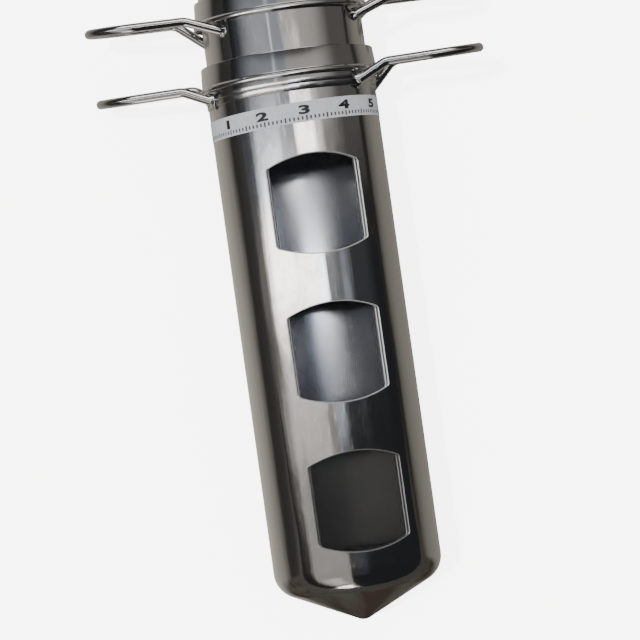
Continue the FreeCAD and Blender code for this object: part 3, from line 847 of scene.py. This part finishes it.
def wire_loop(name, side, seat, lip, turn, upper):
    """A loop of wire: bent down under the lip at both roots, welded on, round at the outer end."""

    def leg(face, drop):
        """The corners of one half from its root outwards, each with its bending radius. face is -1 for the
        windows' side and 1 for the rear."""
        offset = face * LOOP_SPACING / 2
        y = offset * math.cos(LOOP_TILT)
        z = lip + LOOP_RISE + offset * math.sin(LOOP_TILT)
        touch = Vector((side * math.sqrt(seat ** 2 - y ** 2), y, lip - drop))
        elbow = Vector((side * ELBOW_REACH, y, z))
        root = touch + (touch - elbow).normalized() * ROOT_DEPTH
        far_end = Vector((side * (LOOP_REACH - WIRE_RADIUS), y, z))
        return [(root, 0), (elbow, ELBOW_RADIUS), (far_end, LOOP_SPACING / 2)]

    path = leg(-1, FRONT_WELD_DROP) + list(reversed(leg(1, REAR_WELD_DROP)))
    spin = Matrix.Rotation(turn, 4, "Z")
    points = [tuple(spin @ point * MM) for point, _ in path]
    bends = [radius * MM for _, radius in path]
    mesh = grow(name, outline_mesh(name + "_path", points, False, {"bend": bends}), BENDING,
                {"Wire radius": WIRE_RADIUS * MM, "Weld length": WELD_LENGTH * MM, "Weld growth": WELD_GROWTH,
                 "Finish": WIRE_FINISH})
    welds = [spin @ path[0][0], spin @ path[-1][0]]
    for vertex in mesh.vertices:
        weld = min(welds, key=lambda spot: (vertex.co / MM - spot).length)
        swell_bead(vertex, weld, envelope(vertex.co.z / MM, upper))
        reach = math.hypot(vertex.co.x, vertex.co.y)
        least = (envelope(vertex.co.z / MM, upper) - WELD_SINK) * MM
        if reach < least:
            vertex.co.x *= least / reach
            vertex.co.y *= least / reach
    mesh.transform(lay_down() @ Matrix.Scale(1 / MM, 4))
    tidy_mesh(mesh, sharp=50)
    return show(name, mesh)


def wrap_on_label(mesh, lift):
    """Lays a flat print, drawn in millimetres along and across the label, round the tube. lift raises it."""
    for vertex in mesh.vertices:
        angle = vertex.co.x / TUBE_RADIUS
        height = LABEL_FOOT + vertex.co.y + TUBE_RADIUS * math.sin(angle) * LABEL_SLANT
        vertex.co = place(angle, TUBE_RADIUS + lift + vertex.co.z, height)


def label_piece():
    """Thin film round the windows' side of the tube, stuck on a little askew."""
    reach = LABEL_HALF_ANGLE * TUBE_RADIUS
    section = [(0, 0), (0, LABEL_FILM), (LABEL_WIDTH / 2, LABEL_FILM), (LABEL_WIDTH, LABEL_FILM),
               (LABEL_WIDTH, 0)]
    verts, faces = [], []
    for i in range(LABEL_STEPS + 1):
        x = -reach + 2 * reach * i / LABEL_STEPS
        verts += [(x, y, z) for y, z in section]
    count = len(section)
    for i in range(LABEL_STEPS):
        for j in range(count):
            a, b = i * count + j, i * count + (j + 1) % count
            faces.append((a, b, b + count, a + count))
    faces += [tuple(range(count)), tuple(reversed(range(LABEL_STEPS * count, (LABEL_STEPS + 1) * count)))]
    mesh = bpy.data.meshes.new("label")
    mesh.from_pydata(verts, [], faces)
    mesh.materials.append(LABEL_FINISH)
    wrap_on_label(mesh, LABEL_LIFT)
    tidy_mesh(mesh, sharp=40)
    return show("label", mesh)


def slice_across(work):
    """Cuts a flat print into narrow strips, so that it follows the round of the tube."""
    xs = [v.co.x for v in work.verts]
    for i in range(math.floor(min(xs) / PRINT_STRIP) + 1, math.ceil(max(xs) / PRINT_STRIP)):
        bmesh.ops.bisect_plane(work, geom=work.verts[:] + work.edges[:] + work.faces[:],
                               plane_co=(i * PRINT_STRIP, 0, 0), plane_no=(1, 0, 0), dist=1e-5)


def digits_piece():
    """Plain wide figures along the label, each at its own turn round the tube."""
    joined = bmesh.new()
    for figure, degrees in FIGURES:
        drawn = bpy.data.curves.new("figure", "FONT")
        drawn.body = figure
        drawn.size = FIGURE_SIZE
        drawn.offset = FIGURE_BOLDNESS
        drawn.extrude = PRINT_DEPTH / 2
        drawn.align_x = "CENTER"
        drawn.resolution_u = 6
        draft = show("figure_draft", drawn)
        bpy.context.view_layer.update()
        seen = draft.evaluated_get(bpy.context.evaluated_depsgraph_get())
        flat = bpy.data.meshes.new_from_object(seen)
        bpy.data.objects.remove(draft)
        spot = Matrix.Translation((math.radians(degrees) * TUBE_RADIUS, FIGURE_FOOT, 0))
        flat.transform(spot @ Matrix.Diagonal((FIGURE_STRETCH, FIGURE_SQUASH, 1, 1)))
        joined.from_mesh(flat)
    bmesh.ops.remove_doubles(joined, verts=joined.verts, dist=1e-5)
    slice_across(joined)
    mesh = bpy.data.meshes.new("label_digits")
    joined.to_mesh(mesh)
    joined.free()
    mesh.materials.append(DIGIT_INK)
    wrap_on_label(mesh, PRINT_LIFT)
    tidy_mesh(mesh, sharp=30)
    return show("label_digits", mesh)


def ticks_piece():
    """A row of small marks under the figures, every fifth one taller."""
    numbers = [i - TICK_COUNT // 2 for i in range(TICK_COUNT)]
    points = [(i * TICK_PITCH, TICK_MIDDLE, 0) for i in numbers]
    tall = [TALL_TICK if i % 5 == 0 else 1.0 for i in numbers]
    start = outline_mesh("tick_points", points, False, {"tall": tall})
    mesh = grow("label_ticks", start, TICKING, {"Bar width": TICK_WIDTH, "Bar height": TICK_HEIGHT,
                                                "Print depth": PRINT_DEPTH, "Finish": TICK_INK})
    wrap_on_label(mesh, PRINT_LIFT)
    tidy_mesh(mesh, sharp=30)
    return show("label_ticks", mesh)


def settle(piece, body, slot, *nodes):
    """Puts a finished piece on its body and lets it stand for its nodes."""
    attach(piece, body)
    if nodes:
        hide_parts(*nodes)


tube_finishes = (TUBE_FINISH, BORE_FINISH, CUT_FINISH, EDGE_FINISH)
settle(windowed_tube("sleeve_tube", TUBE_RADIUS, TUBE_BORE, SEAM, LOWER_TOP, tube_finishes, SLEEVE_BEVEL),
       "outer", "polished_tube", "outer_tube")
settle(nose(), "outer", "polished_tube", "nose_cone")
settle(ring(), "outer", "polished_tube", "stepped_ring")
settle(collar("low_collar", TUBE_RADIUS, LOWER_COLLAR_WALL, LOWER_LIP),
       "outer", "polished_tube", "lower_collar")
settle(windowed_tube("grain_tube", INNER_RADIUS, INNER_BORE, INNER_FOOT, LENGTH, tube_finishes, MOUTH_BEVEL),
       "inner", "satin_tube", "inner_tube")
settle(collar("high_collar", INNER_RADIUS, UPPER_COLLAR_WALL, UPPER_LIP),
       "inner", "polished_tube", "upper_collar")
settle(label_piece(), "outer", "label", "label_strip")
settle(digits_piece(), "outer", "label")
settle(ticks_piece(), "outer", "label")
for side_name, side in (("left", -1), ("right", 1)):
    settle(wire_loop(f"low_loop_{side_name}", side, TUBE_RADIUS + RING_LARGE_WALL, LOWER_LIP,
                     -LOWER_PAIR_TURN, False), "outer", "polished_wire", f"lower_handle_{side_name}")
    settle(wire_loop(f"high_loop_{side_name}", side, INNER_RADIUS, UPPER_LIP, 0, True),
           "inner", "polished_wire", f"upper_handle_{side_name}")

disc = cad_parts["end_disc"]
disc.data.materials.clear()
disc.data.materials.append(DISC_FINISH)


# Floor, light and camera

FLOOR_REACH = 30


def floor():
    corners = [(x * FLOOR_REACH, y * FLOOR_REACH, 0) for x, y in ((-1, -1), (1, -1), (1, 1), (-1, 1))]
    mesh = bpy.data.meshes.new("floor")
    mesh.from_pydata(corners, [], [(0, 1, 2, 3)])
    mesh.materials.append(floor_paint())
    show("floor", mesh)


# Soft boxes of the studio, placed by direction as seen from the tube, in degrees: turn from straight up
# towards the right (left edge, its softness, right edge, its softness), lean towards the mouth (low, high,
# softness of both), then brightness.
SOFT_BOXES = [
    (-70, 10, -19, 8, -88, -3.0, 2.0, 0.42),
    (-82, 14, -19, 8, -1.8, -0.4, 0.6, 0.80),
    (-58, 14, -19, 8, -3.2, -1.8, 0.6, 0.36),
    (-58, 14, -19, 8, -0.4, 1.4, 0.6, 0.40),
    (-74, 6, -62, 6, -3.0, 1.4, 1.8, 0.25),
    (-22, 8, 6, 10, -1.8, -0.5, 1.0, 0.05),
    (-22, 8, 6, 10, -30, -1.8, 1.0, 0.03),
    (-20, 8, 6, 10, -0.15, 1.3, 0.4, 0.85),
    (-72, 16, 4, 4, 1.45, 2.7, 0.7, 11.0),
    (4, 2, 40, 6, 1.3, 2.7, 0.7, 0.28),
    (28, 4, 36, 4, 0.6, 2.4, 0.7, 0.3),
    (-69, 14, -34, 10, 2.5, 4.3, 0.8, 4.5),
    (-34, 10, 5, 10, 2.7, 4.3, 0.8, 0.65),
    (-72, 12, -30, 14, 4.3, 5.2, 0.8, 0.9),
    (-8, 6, 16, 10, 4.3, 5.3, 0.8, 9.0),
    (10, 10, 26, 12, 4.3, 5.3, 0.8, 2.0),
    (-68, 36, -10, 4, 4.3, 24, 1.0, 0.4),
    (-10, 4, 46, 34, 4.3, 24, 1.0, 0.55),
    (44, 20, 110, 20, 4.3, 24, 1.0, 0.1),
    (-6, 4, 14, 6, 5.4, 6.4, 0.6, 0.9),
    (5, 4, 13, 4, 6.4, 7.2, 0.5, 0.9),
    (-28, 2, -25, 2, 5.3, 24, 1.0, 0.9),
    (12, 20, 70, 20, 0, 4.3, 1.0, 0.035),
    (-100, 4, -76, 6, -0.3, 5.2, 0.7, 0.12),
    (-100, 4, -76, 6, 1.5, 2.7, 0.7, 0.13),
    (-50, 20, 45, 20, 34, 60, 8, 3.0),
    (-60, 20, -34, 12, -60, -30, 8, 0.4),
    (-87, 6, -36, 14, -83, -69, 5, 3.5),
]


def studio():
    """Dim even surroundings with soft boxes for the steel to mirror, a plain backdrop and an even fill."""
    world = bpy.data.worlds.new("studio")
    bpy.context.scene.world = world
    world.use_nodes = True
    tree = world.node_tree
    tree.nodes.clear()
    out = tree.nodes.new("ShaderNodeOutputWorld")
    way = tree.nodes.new("ShaderNodeTexCoord")
    split = tree.nodes.new("ShaderNodeSeparateXYZ")
    tree.links.new(way.outputs["Generated"], split.inputs["Vector"])
    turn = combine(tree, "ARCTAN2", split.outputs["X"], split.outputs["Z"])
    lean = combine(tree, "ARCSINE", split.outputs["Y"], 0)

    def edge(value, at, soft, rising):
        """A soft step up (or down) where the value passes an angle in degrees."""
        ramp = tree.nodes.new("ShaderNodeMapRange")
        ramp.interpolation_type = "SMOOTHSTEP"
        low, high = math.radians(at - soft / 2), math.radians(at + soft / 2)
        ramp.inputs["From Min"].default_value = low
        ramp.inputs["From Max"].default_value = high
        ramp.inputs["To Min"].default_value = 0 if rising else 1
        ramp.inputs["To Max"].default_value = 1 if rising else 0
        tree.links.new(value, ramp.inputs["Value"])
        return ramp.outputs["Result"]

    total = SURROUNDINGS
    for left, left_soft, right, right_soft, low, high, end_soft, power in SOFT_BOXES:
        box = combine(tree, "MULTIPLY", edge(turn, left, left_soft, True),
                      edge(turn, right, right_soft, False))
        box = combine(tree, "MULTIPLY", box, edge(lean, low, end_soft, True))
        box = combine(tree, "MULTIPLY", box, edge(lean, high, end_soft, False))
        total = combine(tree, "ADD", combine(tree, "MULTIPLY", box, power), total)
    lit = tree.nodes.new("ShaderNodeBackground")
    crossed = combine(tree, "SUBTRACT", edge(turn, *COOL_TURN, True), edge(lean, *COOL_LEAN, True))
    cool = combine(tree, "ABSOLUTE", crossed, 0)
    tree.links.new(blend_colours(tree, cool, WARM_LIGHT, COOL_LIGHT), lit.inputs["Color"])
    tree.links.new(total, lit.inputs["Strength"])
    plain = tree.nodes.new("ShaderNodeBackground")
    plain.inputs["Color"].default_value = (*BACKDROP_TONE, 1)
    plain.inputs["Strength"].default_value = BACKDROP
    fill = tree.nodes.new("ShaderNodeBackground")
    fill.inputs["Color"].default_value = (*FILL_TONE, 1)
    fill.inputs["Strength"].default_value = FILL
    path = tree.nodes.new("ShaderNodeLightPath")
    seen = lit
    for ray, other in (("Is Camera Ray", plain), ("Is Diffuse Ray", fill)):
        mix = tree.nodes.new("ShaderNodeMixShader")
        tree.links.new(path.outputs[ray], mix.inputs["Fac"])
        tree.links.new(seen.outputs[0], mix.inputs[1])
        tree.links.new(other.outputs[0], mix.inputs[2])
        seen = mix
    tree.links.new(seen.outputs[0], out.inputs["Surface"])


# The boxes are cool to the right of COOL_TURN or towards the mouth from COOL_LEAN, and warm where both or
# neither holds. Each of the two is an angle and its softness.
SURROUNDINGS = 0.026
WARM_LIGHT = (1.04, 0.995, 0.95)
COOL_LIGHT = (0.9, 0.97, 1.1)
COOL_TURN = (-8, 10)
COOL_LEAN = (3.4, 1.6)
FILL = 1.2
BACKDROP = 5.2
BACKDROP_TONE = (0.95, 0.95, 0.95)
KEY_TURN = math.radians(-20)
KEY_LEAN = math.radians(2.8)
KEY_SIZE = math.radians(2.5)
KEY_STRENGTH = 4.2


def key_light():
    """One small, distant lamp, high on the left, for the faint shadows. The steel doesn't mirror it."""
    lamp = bpy.data.lights.new("key", "SUN")
    lamp.energy = KEY_STRENGTH
    lamp.angle = KEY_SIZE
    item = show("key", lamp)
    towards = Vector((math.sin(KEY_TURN) * math.cos(KEY_LEAN), math.sin(KEY_LEAN),
                      math.cos(KEY_TURN) * math.cos(KEY_LEAN)))
    item.rotation_mode = "QUATERNION"
    item.rotation_quaternion = towards.to_track_quat("Z", "Y")
    item.visible_glossy = False


# The camera looks down from a little to the left (CAMERA_TURN) and a little towards the nose (CAMERA_FOOT).
# It is rolled by CAMERA_LEAN, so that the tube leans in the picture. CAMERA_HEIGHT and CAMERA_ASIDE are where
# on the tube it aims. Lengths are in millimetres.
CAMERA_TURN = math.radians(-8)
CAMERA_LEAN = math.radians(8)
CAMERA_DISTANCE = 1235.0
CAMERA_HEIGHT = 136.3
CAMERA_ASIDE = -1.4
CAMERA_FOOT = 25.0
FOCAL_PIXELS = 2735
IMAGE_PIXELS = 640
SENSOR = 36.0


def camera():
    data = bpy.data.cameras.new("camera")
    data.sensor_width = SENSOR
    data.lens = SENSOR * FOCAL_PIXELS / IMAGE_PIXELS
    data.clip_start = 0.05
    data.clip_end = 100
    item = show("camera", data)
    aim = place(0, 0, CAMERA_HEIGHT) + Vector((CAMERA_ASIDE, 0, 0)) * MM
    away = Vector((math.sin(CAMERA_TURN) * CAMERA_DISTANCE, -CAMERA_FOOT,
                   math.cos(CAMERA_TURN) * CAMERA_DISTANCE))
    spot = aim + away * MM
    back = away.normalized()
    along = (Vector((0, 1, 0)) - back.y * back).normalized()
    across = along.cross(back)
    right = math.cos(CAMERA_LEAN) * across - math.sin(CAMERA_LEAN) * along
    up = math.sin(CAMERA_LEAN) * across + math.cos(CAMERA_LEAN) * along
    item.matrix_world = Matrix((
        (right.x, up.x, back.x, spot.x),
        (right.y, up.y, back.y, spot.y),
        (right.z, up.z, back.z, spot.z),
        (0, 0, 0, 1),
    ))
    bpy.context.scene.camera = item


floor()
studio()
key_light()
camera()
